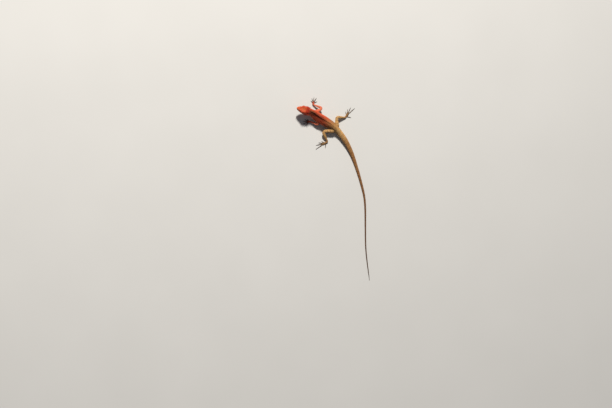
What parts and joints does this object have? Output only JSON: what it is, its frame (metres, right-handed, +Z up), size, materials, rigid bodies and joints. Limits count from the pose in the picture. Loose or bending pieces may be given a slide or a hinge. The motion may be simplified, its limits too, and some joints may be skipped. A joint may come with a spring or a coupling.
{
  "type": "oriental garden lizard",
  "caption": "Male garden lizard in breeding colours, standing with its head raised, its legs spread and its long thin tail curving to its left along the floor.",
  "frame": {"origin": "middle of the bounding box, at the level of the floor that the hands, feet and tail rest on", "axes": "+Z up; +Y along the torso from head to tail, so the head points to -Y; +X to the animal's left"},
  "size_m": [0.2914, 0.3368, 0.0302],
  "materials": {
    "skin_flame": "dry scales",
    "skin_ember": "dry scales",
    "skin_tan": "dry scales",
    "skin_tail": "dry scales",
    "eye": "wet, glossy",
    "eardrum": "smooth skin"
  },
  "bodies": {
    "root": {"head": "skin_flame", "neck": "skin_flame", "torso": "skin_ember", "eye_left": "eye", "eye_right": "eye", "eardrum_left": "eardrum", "eardrum_right": "eardrum", "upper_arm_left": "skin_flame", "forearm_left": "skin_flame", "hand_left": "skin_flame", "thigh_left": "skin_tan", "shank_left": "skin_tan", "foot_left": "skin_tan", "upper_arm_right": "skin_flame", "forearm_right": "skin_flame", "hand_right": "skin_flame", "thigh_right": "skin_tan", "shank_right": "skin_tan", "foot_right": "skin_tan", "tail_1": "skin_tail", "tail_2": "skin_tail", "tail_3": "skin_tail", "tail_4": "skin_tail", "tail_5": "skin_tail", "tail_6": "skin_tail"}
  },
  "joints": []
}
